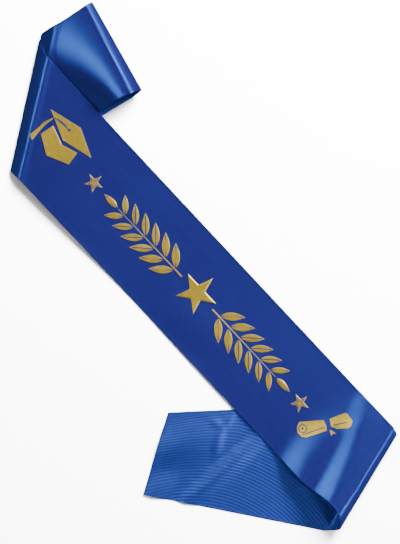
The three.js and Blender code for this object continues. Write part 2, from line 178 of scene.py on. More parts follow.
RIDGES = (
    Ridge(Stretch.TAIL, -0.75, -0.08, (0.85, 0.14), -51.0, 0.048),
    Ridge(Stretch.TAIL, -0.3, 0.14, (0.66, 0.34), -26.0, 0.06),
    Ridge(Stretch.TAIL, -0.6, 0.17, (0.24, 0.08), 90.0, 0.014),
    Ridge(Stretch.TAIL, -0.52, 0.37, (0.16, 0.07), 38.0, 0.012),
    Ridge(Stretch.TAIL, -0.66, 0.38, (0.16, 0.07), -65.0, 0.012),
    Ridge(Stretch.TAIL, -0.12, -0.42, (0.3, 0.16), -60.0, 0.025),
    Ridge(Stretch.PANEL, -1.05, 0.2, (0.5, 0.32), 30.0, 0.012),
    Ridge(Stretch.PANEL, 0.2, -0.2, (0.8, 0.3), 12.0, 0.01),
)


@dataclass(frozen=True)
class Swell:
    """A step of the panel up to the lower roll: its line's distances inside the roll's outer edge at the low
    edge, the middle and the high edge, and its run, as shares of the width, and its share of the height."""

    low: float
    middle: float
    high: float
    run: float
    lift: float


SWELLS = (
    Swell(0.78, 0.72, 0.36, 0.42, 0.38),
    Swell(0.34, 0.38, 0.52, 0.24, 0.22),
    Swell(0.5, 0.45, 0.3, 0.8, 0.4),
)


@dataclass
class RollPlace:
    """Where flat places come to lie on a roll."""

    plan: np.ndarray
    turn: np.ndarray
    share: np.ndarray
    inside: np.ndarray
    height: np.ndarray


class Roll:
    """A soft roll of the ribbon: half of its cloth lies on either side of a fold line, over which the flat
    strip is mirrored, and in between the cloth goes round the soft bend that drop gives."""

    def __init__(self, shape: RollShape, sizes: ClothSizes, station: float, way: int, inset: float = 0.0) -> None:
        """Place the roll on the flat strip.

        Args:
            shape: The roll's shape.
            sizes: The ribbon's sizes.
            station: Where the roll's outer edge crosses the middle of the strip.
            way: 1 for a roll at the end in +x, -1 for one in -x.
            inset: How far inside that outer surface this layer lies.
        """
        self.half_width = sizes.width / 2
        self.edge_height, self.bend = shape.edge_height, shape.bend
        slant = math.radians(shape.slant)
        axis = np.array([math.cos(slant), math.sin(slant)])
        outward = way * np.array([axis[1], -axis[0]])
        half_span = self.half_width / math.sin(slant)
        reach, rise, cloth = (np.array(pair) * sizes.roll_radius for pair in (shape.reach, shape.rise, shape.cloth))
        middle = np.array([station, 0.0])
        self.low = middle - axis * half_span - outward * reach[0]
        high = middle + axis * half_span - outward * reach[1]
        self.rim_length = float(np.linalg.norm(high - self.low))
        self.rim = (high - self.low) / self.rim_length
        self.out = way * np.array([self.rim[1], -self.rim[0]])
        self.reach, self.rise, self.cloth = reach - inset, rise - inset, cloth - inset
        quarter = self.cloth * math.pi / 2
        self.fold_low = self.low + self.out * quarter[0]
        fold_high = high + self.out * quarter[1]
        self.fold_axis = (fold_high - self.fold_low) / np.linalg.norm(fold_high - self.fold_low)
        self.fold_out = way * np.array([self.fold_axis[1], -self.fold_axis[0]])

    def past_fold(self, flat: np.ndarray) -> np.ndarray:
        """How far flat places lie past the fold line."""
        return (flat - self.fold_low) @ self.fold_out

    def mirror(self, flat: np.ndarray) -> np.ndarray:
        """Flat places mirrored over the fold line."""
        return flat - 2.0 * self.past_fold(flat)[:, None] * self.fold_out

    def place(self, flat: np.ndarray) -> RollPlace:
        """Roll up flat places: a place past the fold line is mirrored, and cloth beyond the rim line goes
        sideways by the reach times one minus the drop at the share of the way that is still to go.

        Args:
            flat: Flat places, one in each row.

        Returns:
            The plan of each place, its share of the half turn, its share along the rim line, how far inside
            the rim line it lies, and the roll's height there.
        """
        beyond = self.past_fold(flat) > 0
        near = np.where(beyond[:, None], self.mirror(flat), flat)
        offset = near - self.low
        along = offset @ self.rim
        share = along / self.rim_length
        over = offset @ self.out
        quarter = np.maximum(mix(*self.cloth, share) * math.pi / 2, 1e-6)
        bent = np.where(over < 0, 0.0, np.clip(over / quarter, 0.0, 1.0))
        sideways = np.where(over < 0, over, mix(*self.reach, share) * (1.0 - self.drop(1.0 - bent)))
        plan = self.low + along[:, None] * self.rim + sideways[:, None] * self.out
        turn = np.where(beyond, 1.0 - bent / 2, bent / 2)
        return RollPlace(plan, turn, share, -over, 2.0 * mix(*self.rise, share))

    def drop(self, share: np.ndarray) -> np.ndarray:
        """How far the cloth has come down at a share of its way to the outer edge: a straight line that
        starts level, the square root of the share squared plus the bend squared, less the bend, and brought
        to 1 at the end."""
        return (np.hypot(share, self.bend) - self.bend) / (math.hypot(1.0, self.bend) - self.bend)

    def height(self, start: np.ndarray, end: np.ndarray, turn: np.ndarray) -> np.ndarray:
        """Height on the way round, from the start's height down to the outer edge's and on to the end's.

        Args:
            start: Height at the start.
            end: Height at the end.
            turn: Share of the half turn.

        Returns:
            The height at each share.
        """
        edge = np.minimum(start, end) + self.edge_height * np.abs(end - start)
        first = mix(start, edge, self.drop(2.0 * turn))
        return np.where(turn < 0.5, first, mix(end, edge, self.drop(2.0 - 2.0 * turn)))

    def section(self, turn: float) -> np.ndarray:
        """Stations at which the line at one share of the half turn crosses the ribbon's two edges."""
        shift = (turn - 0.5) * math.pi * self.cloth
        low = self.fold_low + self.fold_out * shift[0]
        high = self.fold_low + self.fold_axis * self.rim_length + self.fold_out * shift[1]
        edges = np.array([-self.half_width, self.half_width])
        return low[0] + (high[0] - low[0]) * (edges - low[1]) / (high[1] - low[1])


@dataclass
class Fold:
    """How the whole strip lies: it carries flat places to their places in space."""

    sizes: ClothSizes = field(default_factory=ClothSizes)
    tail_pull: tuple[float, float, float] = (0.08, 0.172, 0.68)
    mouth_bow: tuple[float, float, float] = (0.06, 0.22, 0.38)
    rim_blend: float = 0.1
    over_tail: float = 0.1
    tail_start: float = 1.28
    tail_run: float = 0.5
    crest_run: float = 0.06
    crest_share: float = 0.1
    top_flat: float = 0.04
    top_run: float = 0.5
    under_gather: float = 0.017
    top_gather: tuple[float, float] = (0.015, 0.035)
    probe: float = 0.25

    def __post_init__(self) -> None:
        """Set up the rolls."""
        sizes = self.sizes
        self.lower = Roll(LOWER_ROLL, sizes, sizes.panel_half, 1)
        self.left = Roll(LEFT_ROLL, sizes, -sizes.panel_half, -1)
        self.right = Roll(RIGHT_ROLL, sizes, sizes.right_station, -1)
        self.inner = Roll(LEFT_ROLL, sizes, -sizes.panel_half, -1, inset=sizes.layer_step)
        self.bare = Roll(BARE_ROLL, sizes, -sizes.panel_half, -1)

    def relief(self, flat: np.ndarray, stretch: Stretch) -> np.ndarray:
        """Height of the ridges of one stretch: for each, half of one plus the cosine of the distance from its
        middle, counted so that it is half a turn at the ridge's edge."""
        width = self.sizes.width
        origin = self.sizes.tail_end if stretch is Stretch.TAIL else 0.0
        height = np.zeros(len(flat))
        for ridge in (r for r in RIDGES if r.stretch is stretch):
            x = flat[:, 0] - origin - ridge.along * width
            y = flat[:, 1] - ridge.across * width
            turn = math.radians(ridge.heading)
            u = (x * math.cos(turn) + y * math.sin(turn)) / (ridge.half[0] * width)
            v = (y * math.cos(turn) - x * math.sin(turn)) / (ridge.half[1] * width)
            distance = np.minimum(1.0, np.hypot(u, v))
            height += ridge.height * width * 0.5 * (1.0 + np.cos(math.pi * distance))
        return height

    def panel_height(self, flat: np.ndarray) -> np.ndarray:
        """Height of the panel: on the floor, over the tail, and up to the rolls at its two ends.

        Args:
            flat: Flat places, one in each row.

        Returns:
            The height of the middle of the cloth at each place.
        """
        sizes, width = self.sizes, self.sizes.width
        left, lower = self.left.place(flat), self.lower.place(flat)
        ramp = sizes.left_ramp * (1.0 + np.maximum(0.0, left.share))
        at_crest = ease(1.0 - left.inside / (self.crest_run * width))
        to_left = left.height * mix(ease(1.0 - left.inside / ramp), at_crest, self.crest_share)
        outer_edge = sizes.panel_half + flat[:, 1] / math.tan(math.radians(LOWER_ROLL.slant))
        v = 2.0 * flat[:, 1] / width
        swelling = np.zeros(len(flat))
        for swell in SWELLS:
            bend = (swell.high + swell.low) / 2 - swell.middle
            line = outer_edge - width * (swell.middle + (swell.high - swell.low) / 2 * v + bend * v * v)
            swelling += swell.lift * ease((flat[:, 0] - line) / (swell.run * width) + 0.5)
        share = mix(swelling, 1.0, ease(1.0 - lower.inside / (self.rim_blend * width)))
        past_tail = self.lower.mirror(flat)[:, 1] / width - 0.5
        over_tail = sizes.layer_step * ease(1.0 + self.over_tail - past_tail) * (1.0 - share)
        return sizes.rest + to_left + lower.height * share + over_tail + self.relief(flat, Stretch.PANEL)

    def tail_height(self, flat: np.ndarray) -> np.ndarray:
        """Height of the tail: flat under the panel, with soft ridges past it."""
        start = (flat[:, 0] - self.sizes.tail_end) / self.sizes.width + self.tail_start
        return self.sizes.rest + ease(start / self.tail_run) * self.relief(flat, Stretch.TAIL)

    def pull_tail(self, flat: np.ndarray) -> np.ndarray:
        """Draw in the free upper corner of the tail, more towards its cut end."""
        along, across, start_share = self.tail_pull
        width, end = self.sizes.width, self.sizes.tail_end
        start = self.sizes.panel_half + start_share * self.sizes.tail
        to_end = np.clip((flat[:, 0] - start) / (end - start), 0.0, 1.0)
        to_top = np.clip(flat[:, 1] / width + 0.5, 0.0, 1.0)
        shift = np.stack([along * to_end * to_top, across * to_end * to_top**2], axis=1)
        return flat - width * shift

    def bow_mouth(self, flat: np.ndarray) -> np.ndarray:
        """Bow the panel's low edge inwards beside the lower roll, where the roll stands open."""
        depth, inside, half = self.mouth_bow
        width = self.sizes.width
        corner = self.sizes.panel_half - width / 2 / math.tan(math.radians(LOWER_ROLL.slant))
        near = ease(1.0 - np.abs(flat[:, 0] - corner + inside * width) / (half * width))
        at_low = np.clip(-2.0 * flat[:, 1] / width, 0.0, 1.0)
        return flat + np.stack([np.zeros(len(flat)), depth * width * near * at_low**2], axis=1)

    def draw_in(self, flat: np.ndarray) -> np.ndarray:
        """Draw the under layer's low edge in, and both edges of the layer that returns over it."""
        width = self.sizes.width
        past_left = -flat[:, 0] - self.sizes.panel_half
        to_under = ease(past_left / self.sizes.under)
        to_top = ease((past_left - self.sizes.under) / (self.top_run * width))
        at_low, at_high = 0.5 - flat[:, 1] / width, 0.5 + flat[:, 1] / width
        raised = at_low * (self.under_gather * to_under + self.top_gather[0] * to_top)
        lowered = at_high * self.top_gather[1] * to_top
        return flat + np.stack([np.zeros(len(flat)), width * (raised - lowered)], axis=1)

    def middle(self, flat: np.ndarray) -> np.ndarray:
        """Where the middle of the cloth lies, in millimetres from the middle of the panel.

        Args:
            flat: Flat places, one in each row.

        Returns:
            Places in space, one in each row.
        """
        sizes, width = self.sizes, self.sizes.width
        lower, left = self.lower.place(self.pull_tail(self.bow_mouth(flat))), self.left.place(flat)
        right = self.right.place(self.draw_in(flat))
        left_plan = self.left.place(self.draw_in(flat)).plan
        panel = self.panel_height(flat)

        round_lower = self.lower.height(sizes.rest + lower.height, sizes.rest, lower.turn)
        lower_z = np.select([lower.turn == 0, lower.turn == 1], [panel, self.tail_height(flat)], round_lower)
        round_left = self.left.height(sizes.rest + left.height, sizes.rest, left.turn)
        left_z = np.where(left.turn == 0, panel, round_left)

        over = self.left.mirror(right.plan)
        covered = ease((width / 2 - over[:, 1]) / (self.rim_blend * width) + 1.0)
        inner, bare = self.inner.place(over), self.bare.place(over)
        inner_plan = mix(bare.plan, inner.plan, covered[:, None])
        under_panel = self.panel_height(over) - sizes.layer_step
        bare_way = np.maximum(0.0, over[:, 1] - width / 2)
        crest_way = np.maximum(0.0, right.inside - self.top_flat * width)
        risen = np.minimum(1.0 - crest_way / (self.top_run * width), bare_way / (bare_way + crest_way + self.probe))
        to_right = np.clip(risen, 0.0, 1.0) * (2.0 - np.clip(risen, 0.0, 1.0))
        top = mix(under_panel, sizes.rest + right.height, to_right)
        round_right = self.right.height(sizes.rest, sizes.rest + right.height, right.turn)
        low = sizes.rest + sizes.layer_step
        round_inner = mix(self.bare.height(top, low, bare.turn), self.inner.height(top, low, inner.turn), covered)
        on_right = right.turn < 1
        right_plan = np.where(on_right[:, None], over, inner_plan)
        right_z = np.where(on_right, round_right, round_inner)

        panel_side, returned = flat[:, 0] >= 0, right.turn > 0
        plan = np.where(panel_side[:, None], lower.plan, np.where(returned[:, None], right_plan, left_plan))
        z = np.where(panel_side, lower_z, np.where(returned, right_z, left_z))
        turn = math.radians(sizes.heading)
        x = plan[:, 0] * math.cos(turn) - plan[:, 1] * math.sin(turn)
        y = plan[:, 0] * math.sin(turn) + plan[:, 1] * math.cos(turn)
        return np.stack([x, y, z], axis=1)

    def surface(self, flat: np.ndarray, distance: np.ndarray | float) -> np.ndarray:
        """Places at a distance from the middle of the cloth, on its satin side where that is positive.

        The cloth's normal is the cross product of its two tangents, taken as central differences.

        Args:
            flat: Flat places, one in each row.
            distance: The distance of all of them, or of each.

        Returns:
            Places in space, one in each row.
        """
        step_x, step_y = np.array([self.probe, 0.0]), np.array([0.0, self.probe])
        along = self.middle(flat + step_x) - self.middle(flat - step_x)
        across = self.middle(flat + step_y) - self.middle(flat - step_y)
        normal = np.cross(along, across)
        normal /= np.linalg.norm(normal, axis=1, keepdims=True)
        return self.middle(flat) + normal * np.reshape(distance, (-1, 1))


# Meshes


def build_object(
    name: str,
    points: np.ndarray,
    faces: np.ndarray,
    flat: np.ndarray,
    places: np.ndarray | None = None,
) -> bpy.types.Object:
    """Make a smooth mesh object whose UV map holds each corner's place on the flat strip, in metres.

    Args:
        name: The object's name.
        points: Places in space, in metres.
        faces: Corner numbers, one face in each row.
        flat: The points' flat places, in millimetres.
        places: The material place of each face, if there are several.

    Returns:
        The new object, linked to the scene.
    """
    mesh = bpy.data.meshes.new(name)
    sides = faces.shape[1]
    mesh.vertices.add(len(points))
    mesh.vertices.foreach_set("co", points.astype(np.float32).ravel())
    mesh.loops.add(faces.size)
    mesh.loops.foreach_set("vertex_index", faces.astype(np.int32).ravel())
    mesh.polygons.add(len(faces))
    mesh.polygons.foreach_set("loop_start", np.arange(0, faces.size, sides, dtype=np.int32))
    mesh.update(calc_edges=True)
    mesh.polygons.foreach_set("use_smooth", np.ones(len(faces), dtype=bool))
    if places is not None:
        mesh.polygons.foreach_set("material_index", places.astype(np.int32))
    uv = mesh.uv_layers.new(name="flat")
    uv.data.foreach_set("uv", (flat[faces.ravel()] * MM).astype(np.float32).ravel())
    mesh.validate()
    mesh.update()
    made = bpy.data.objects.new(name, mesh)
    bpy.context.scene.collection.objects.link(made)
    return made


def grid_faces(rows: int, columns: int) -> np.ndarray:
    """Corner numbers of the squares of a grid whose points are numbered row by row."""
    corner = (np.arange(rows - 1)[:, None] * columns + np.arange(columns - 1)).ravel()
    return np.stack([corner, corner + 1, corner + columns + 1, corner + columns], axis=1)


@dataclass
class Ribbon:
    """The satin ribbon: a fine grid over the flat strip, with a slightly thicker woven selvedge."""

    fold: Fold
    columns: int = 46
    edge_columns: tuple[float, ...] = (0.0, 0.15, 0.5, 1.1, 1.8, 2.8)
    selvedge: float = 1.6
    selvedge_lift: float = 0.14

    def lines(self) -> np.ndarray:
        """Stations of the grid's lines at the ribbon's two edges, from the tail's cut end to the hidden one.

        Between two rolls the lines turn evenly from the one's slant to the other's.
        """
        fold, sizes = self.fold, self.fold.sizes
        swell_start = sizes.panel_half - 1.05 * sizes.width
        stops = [
            (np.full(2, sizes.tail_end), 0),
            (fold.lower.section(1.0), 150),
            (fold.lower.section(0.0), 48),
            (np.full(2, swell_start), 90),
            (fold.left.section(0.0), 210),
            (fold.left.section(1.0), 44),
            (fold.right.section(0.0), 40),
            (fold.right.section(1.0), 36),
            (np.full(2, sizes.return_end), 90),
        ]
        lines = [stops[0][0][None, :]]
        for (start, _), (end, steps) in zip(stops, stops[1:]):
            share = np.arange(1, steps + 1)[:, None] / steps
            lines.append(mix(start, end, share))
        return np.concatenate(lines)

    def across(self) -> np.ndarray:
        """Places across the ribbon, closer together beside its two edges."""
        half = self.fold.sizes.width / 2
        edge = np.array(self.edge_columns)
        inner = np.linspace(-half + edge[-1], half - edge[-1], self.columns)[1:-1]
        return np.concatenate([-half + edge, inner, half - edge[::-1]])

    def build(self) -> bpy.types.Object:
        """Build the ribbon as one closed mesh: satin side, wrong side and the thin edge all round."""
        sizes = self.fold.sizes
        lines, y = self.lines(), self.across()
        rows, columns = len(lines), len(y)
        share = y / sizes.width + 0.5
        x = lines[:, :1] + (lines[:, 1:] - lines[:, :1]) * share
        flat = np.stack([x.ravel(), np.tile(y, rows)], axis=1)
        to_edge = sizes.width / 2 - np.abs(flat[:, 1])
        bead = self.selvedge_lift * np.sin(math.pi * np.clip(to_edge / self.selvedge, 0.0, 1.0))
        half = sizes.thickness / 2 + bead
        points = np.concatenate([self.fold.surface(flat, half), self.fold.surface(flat, -half)])

        top = grid_faces(rows, columns)
        below = rows * columns
        first, last = np.arange(rows) * columns, np.arange(rows) * columns + columns - 1
        start, end = np.arange(columns), np.arange(columns) + (rows - 1) * columns
        rims = []
        for border in (last, end[::-1], first[::-1], start):
            a, b = border[:-1], border[1:]
            rims.append(np.stack([b, a, a + below, b + below], axis=1))
        rim = np.concatenate(rims)
        faces = np.concatenate([top, top[:, ::-1] + below, rim])
        counts = (len(top), len(top), len(rim))
        places = np.repeat([Side.SATIN.value, Side.WRONG.value, Side.SATIN.value], counts)
        return build_object("satin_ribbon", points * MM, faces, np.tile(flat, (2, 1)), places)


# Foil figures


def resample(chain: np.ndarray, shares: np.ndarray) -> np.ndarray:
    """Points at shares of the length of a chain of points."""
    steps = np.linalg.norm(np.diff(chain, axis=0), axis=1)
    at = np.concatenate([[0.0], np.cumsum(steps)]) / steps.sum()
    return np.stack([np.interp(shares, at, chain[:, i]) for i in range(2)], axis=1)


def distance_to(points: np.ndarray, starts: np.ndarray, ends: np.ndarray) -> np.ndarray:
    """Distance from each point to the nearest of some straight lines: the foot of the perpendicular on each
    line is kept between its two ends."""
    along = ends - starts
    squared = np.maximum((along**2).sum(axis=1), 1e-12)
    nearest = np.full(len(points), np.inf)
    for start, way, size in zip(starts, along, squared):
        share = np.clip((points - start) @ way / size, 0.0, 1.0)
        nearest = np.minimum(nearest, np.linalg.norm(points - start - share[:, None] * way, axis=1))
    return nearest


@dataclass
class Patch:
    """A stretch of foil on the flat strip: a grid of flat places, its rows ruled between two chains."""

    points: np.ndarray
    faces: np.ndarray

    @classmethod
    def ruled(cls, first: np.ndarray, second: np.ndarray, cell: float = 0.8) -> "Patch":
        """Rule a patch between two chains of points.

        Args:
            first: One side of the patch.
            second: Its other side, in the same direction.
            cell: The size of a grid square, in millimetres.

        Returns:
            The patch.
        """
        lengths = [np.linalg.norm(np.diff(chain, axis=0), axis=1).sum() for chain in (first, second)]
        rows = max(4, math.ceil(max(lengths) / cell))
        gap = np.linalg.norm(np.mean(first, axis=0) - np.mean(second, axis=0))
        columns = max(4, math.ceil(gap / cell))
        u = np.linspace(0.0, 1.0, rows + 1)
        v = np.linspace(0.0, 1.0, columns + 1)[None, :, None]
        side_a, side_b = resample(first, u)[:, None, :], resample(second, u)[:, None, :]
        points = mix(side_a, side_b, v).reshape(-1, 2)
        squares = grid_faces(rows + 1, columns + 1)
        return cls(points, np.concatenate([squares[:, [0, 1, 2]], squares[:, [0, 2, 3]]]))

    @classmethod
    def joined(cls, patches: list["Patch"]) -> "Patch":
        """Put several patches into one."""
        offsets = np.cumsum([0] + [len(patch.points) for patch in patches[:-1]])
        faces = [patch.faces + offset for patch, offset in zip(patches, offsets)]
        return cls(np.concatenate([patch.points for patch in patches]), np.concatenate(faces))

    def welded(self) -> "Patch":
        """Weld points that lie in one place, drop faces that have no area, and turn the others upwards."""
        _, first, number = np.unique(np.round(self.points, 4), axis=0, return_index=True, return_inverse=True)
        points, faces = self.points[first], number.ravel()[self.faces]
        a, b, c = (points[faces[:, i]] for i in range(3))
        area = (b - a)[:, 0] * (c - a)[:, 1] - (b - a)[:, 1] * (c - a)[:, 0]
        faces = np.where(area[:, None] < 0, faces[:, ::-1], faces)
        return Patch(points, faces[np.abs(area) > 1e-6])

    def border(self) -> np.ndarray:
        """The edges that belong to one face alone, each in that face's direction."""
        edges = np.concatenate([self.faces[:, [0, 1]], self.faces[:, [1, 2]], self.faces[:, [2, 0]]])
        key = np.sort(edges, axis=1)
        _, first, count = np.unique(key, axis=0, return_index=True, return_counts=True)
        return edges[first[count == 1]]


@dataclass(frozen=True)
class FoilSizes:
    """Sizes of the foil print, in millimetres. The insets run from a roll's outer edge to a figure's middle."""

    cap: float = 60.0
    cap_inset: float = 46.6
    scroll: float = 45.0
    scroll_inset: float = 61.2
    big_star: float = 21.0
    small_star: float = 10.0
    gap: float = 4.0
    lift: float = 0.04
    thickness: float = 0.16
    bevel: float = 0.7


@dataclass
class FoilFigure:
    """One printed figure of gold foil, laid on the satin as a thin plate with a soft edge."""

    name: str
    node: str
    patches: list[Patch]
    engraved: list[np.ndarray] = field(default_factory=list)

    def build(self, fold: Fold, sizes: FoilSizes) -> bpy.types.Object:
        """Lay the figure on the satin.

        Its thickness eases from nothing at the outline to full at the bevel. Each point keeps its distance to
        the outline and to the nearest engraved line, which the foil's finish reads.

        Args:
            fold: How the ribbon lies.
            sizes: Sizes of the print.

        Returns:
            The new object.
        """
        patch = Patch.joined([p.welded() for p in self.patches])
        border = patch.border()
        rim = distance_to(patch.points, patch.points[border[:, 0]], patch.points[border[:, 1]])
        line = np.full(len(patch.points), 9.0)
        if self.engraved:
            starts = np.concatenate([chain[:-1] for chain in self.engraved])
            ends = np.concatenate([chain[1:] for chain in self.engraved])
            line = distance_to(patch.points, starts, ends)
        base = fold.sizes.thickness / 2 + sizes.lift
        crown = base + 0.02 + sizes.thickness * ease(rim / sizes.bevel)
        points = np.concatenate([fold.surface(patch.points, crown), fold.surface(patch.points, base)])
        below = len(patch.points)
        a, b = border[:, 0], border[:, 1]
        sides = np.concatenate([np.stack([a, b + below, b], axis=1), np.stack([a, a + below, b + below], axis=1)])
        faces = np.concatenate([patch.faces, patch.faces[:, ::-1] + below, sides])
        made = build_object(self.name, points * MM, faces, np.tile(patch.points, (2, 1)))
        for key, values in (("rim", rim), ("line", line)):
            attribute = made.data.attributes.new(key, "FLOAT", "POINT")
            attribute.data.foreach_set("value", np.tile(values, 2).astype(np.float32))
        return made


@dataclass
class FoilPrint:
    """The print on the panel: a square cap, a tied scroll, and stars and laurel sprigs between them."""

    fold: Fold
    sizes: FoilSizes = field(default_factory=FoilSizes)
    cap_across: float = 0.063
    scroll_across: float = 0.032
    star_points: int = 5
    star_waist: float = 0.382
    leaf_pairs: int = 6
    leaf_angle: float = 43.0
    leaf_length: float = 0.245
    leaf_width: float = 0.082
    stem_width: float = 0.02

    def __post_init__(self) -> None:
        """Share the panel's length out among the figures."""
        sizes, panel_half = self.sizes, self.fold.sizes.panel_half
        self.cap_station = sizes.cap_inset - panel_half
        self.scroll_station = panel_half - sizes.scroll_inset
        self.star_station = self.scroll_station - sizes.scroll / 2 - sizes.small_star
        self.laurel_start = sizes.big_star + sizes.gap
        self.laurel_length = self.star_station - sizes.small_star - sizes.gap - self.laurel_start

    def at(self, corners: list[tuple[float, float]], size: float, station: float, across: float) -> np.ndarray:
        """Corners given as shares of a figure's size, at a station of the panel and a share across it."""
        return np.array(corners) * size + np.array([station, across * self.fold.sizes.width])

    def cap(self) -> list[FoilFigure]:
        """The square cap: its board, its crown below and the tassel at its left corner."""

        def on_cap(*corners: tuple[float, float]) -> np.ndarray:
            """Corners on the cap."""
            return self.at(list(corners), self.sizes.cap, self.cap_station, self.cap_across)

        board = Patch.ruled(on_cap((-0.493, 0.19), (-0.006, -0.005)), on_cap((0.04, 0.333), (0.497, 0.13)))
        crown = Patch.ruled(
            on_cap((-0.273, 0.052), (0.027, -0.053), (0.288, 0.033)),
            on_cap((-0.312, -0.182), (-0.007, -0.348), (0.325, -0.192)),
        )
        tassel = Patch.ruled(
            on_cap((-0.367, 0.12), (-0.408, -0.03), (-0.413, -0.312)),
            on_cap((-0.34, 0.11), (-0.355, -0.035), (-0.325, -0.35)),
        )
        turn = np.linspace(0.0, 2.0 * math.pi, 17)
        strap = on_cap((-0.34, 0.145), (-0.2, 0.165), (-0.05, 0.178))
        hatch = on_cap((-0.3, 0.17), (-0.12, 0.19))
        button = strap[-1] + 0.9 * np.stack([np.cos(turn), np.sin(turn)], axis=1)
        return [
            FoilFigure("foil_cap_board", "cap_board", [board], [strap, hatch, button]),
            FoilFigure("foil_cap_crown", "cap_crown", [crown]),
            FoilFigure("foil_cap_tassel", "cap_tassel", [tassel]),
        ]

    def scroll(self) -> list[FoilFigure]:
        """The tied scroll: its two halves, with the rolled end's rings, and the bow."""

        def on_scroll(*corners: tuple[float, float]) -> np.ndarray:
            """Corners on the scroll."""
            return self.at(list(corners), self.sizes.scroll, self.scroll_station, self.scroll_across)

        left = Patch.ruled(
            on_scroll((-0.456, -0.34), (-0.416, -0.444), (-0.322, -0.522), (-0.189, -0.516), (-0.12, -0.453)),
            on_scroll((-0.149, 0.056), (-0.016, 0.009), (0.058, -0.051)),
            cell=0.5,
        )
        right = Patch.ruled(
            on_scroll((-0.089, 0.151), (0.053, 0.06), (0.169, 0.122)),
            on_scroll((0.033, 0.464), (0.073, 0.498), (0.258, 0.476), (0.316, 0.384), (0.311, 0.304)),
            cell=0.5,
        )
        bow = Patch.ruled(
            on_scroll((0.08, -0.013), (0.08, 0.007), (0.08, 0.027)),
            on_scroll((0.2, -0.076), (0.178, -0.007), (0.249, 0.062)),
            cell=0.5,
        )
        turn = np.linspace(0.0, 2.0 * math.pi, 25)
        eye = on_scroll((-0.307, -0.38))
        rings = [eye + radius * np.stack([np.cos(turn), np.sin(turn)], axis=1) for radius in (0.6, 3.6)]
        fold_line = on_scroll((-0.215, -0.46), (-0.03, -0.04))
        return [
            FoilFigure("foil_scroll_left", "scroll_left", [left], [*rings, fold_line]),
            FoilFigure("foil_scroll_right", "scroll_right", [right], [on_scroll((0.06, 0.13), (0.2, 0.36))]),
            FoilFigure("foil_scroll_bow", "scroll_bow", [bow]),
        ]

    def star(self, name: str, radius: float, station: float) -> FoilFigure:
        """A five-point star with a fine star engraved in it: the outline is by turns on the outer circle and
        on an inner one, and the patch is ruled from the middle out to it.

        Args:
            name: The star's node.
            radius: The radius of the outer circle, in millimetres.
            station: Its place along the panel, in millimetres.

        Returns:
            The figure.
        """
        corner = np.arange(2 * self.star_points + 1)
        angle = math.pi / 2 + corner * math.pi / self.star_points
        length = np.where(corner % 2 == 0, 1.0, self.star_waist)
        outline = np.stack([length * np.cos(angle), length * np.sin(angle)], axis=1)
        middle = np.array([station, 0.0])
        shares = np.linspace(0.0, 1.0, 8 * 2 * self.star_points + 1)
        even = resample(outline, shares)
        patch = Patch.ruled(np.zeros_like(even), even * radius, cell=max(0.5, radius / 24))
        patch = Patch(patch.points + middle, patch.faces)
        return FoilFigure(f"foil_{name}", name, [patch], [outline * radius * 0.62 + middle])

    def leaf(self, root: np.ndarray, angle: float, length: float, width: float) -> tuple[Patch, np.ndarray]:
        """One laurel leaf, as wide at each share of its length as the sine of that share's 0.85th power.

        Args:
            root: Where the leaf leaves the stem.
            angle: Its angle to the stem, in radians.
            length: Its length, in millimetres.
            width: Its width, in millimetres.

        Returns:
            The leaf's patch and its midrib.
        """
        share = np.linspace(0.0, 1.0, 17)
        half = np.sin(math.pi * share**0.85) * width / 2
        along = np.array([math.cos(angle), math.sin(angle)])
        across = np.array([-along[1], along[0]])
        spine = root + share[:, None] * length * along
        patch = Patch.ruled(spine - half[:, None] * across, spine + half[:, None] * across)
        midrib = root + np.array([[0.0], [0.86]]) * length * along
        return patch, midrib

    def laurel(self, name: str, way: int) -> FoilFigure:
        """A laurel sprig: a tapering stem, pairs of leaves and one leaf at the tip.

        Args:
            name: The sprig's node.
            way: 1 where it grows towards +x, -1 towards -x.

        Returns:
            The figure.
        """
        length, width, stem_width = (
            share * self.laurel_length for share in (self.leaf_length, self.leaf_width, self.stem_width)
        )
        pitch = (self.laurel_length - 0.75 * length) / self.leaf_pairs
        turn = np.array([way, 1.0])
        start = np.array([way * self.laurel_start, 0.0])
        stem_length = self.leaf_pairs * pitch
        half = stem_width / 2
        patches, midribs = [], []
        stem = [np.array([[-0.2 * length, s * half], [stem_length, s * half / 2]]) for s in (-1, 1)]
        patches.append(Patch.ruled(*stem))
        leaves = []
        for pair in range(self.leaf_pairs):
            scale = 1.0 - 0.3 * (pair / self.leaf_pairs) ** 2
            taper = half * (1.0 - 0.5 * (pair / self.leaf_pairs) ** 2)
            for side in (-1, 1):
                root = np.array([(pair + 0.35) * pitch, side * (taper + 0.2)])
                leaves.append((root, side * math.radians(self.leaf_angle), scale))
        leaves.append((np.array([stem_length + 0.3, 0.0]), 0.0, 0.78))
        for root, angle, scale in leaves:
            patch, midrib = self.leaf(root, angle, scale * length, scale * width)
            patches.append(patch)
            midribs.append(midrib * turn + start)
        placed = [Patch(patch.points * turn + start, patch.faces) for patch in patches]
        return FoilFigure(f"foil_{name}", name, placed, midribs)

    def figures(self) -> list[FoilFigure]:
        """All figures of the print."""
        ornament = [self.star("star_middle", self.sizes.big_star, 0.0)]
        for side, way in (("left", -1), ("right", 1)):
            ornament.append(self.laurel(f"laurel_{side}", way))
            ornament.append(self.star(f"star_{side}", self.sizes.small_star, way * self.star_station))
        return [*self.cap(), *self.scroll(), *ornament]


# Finishes


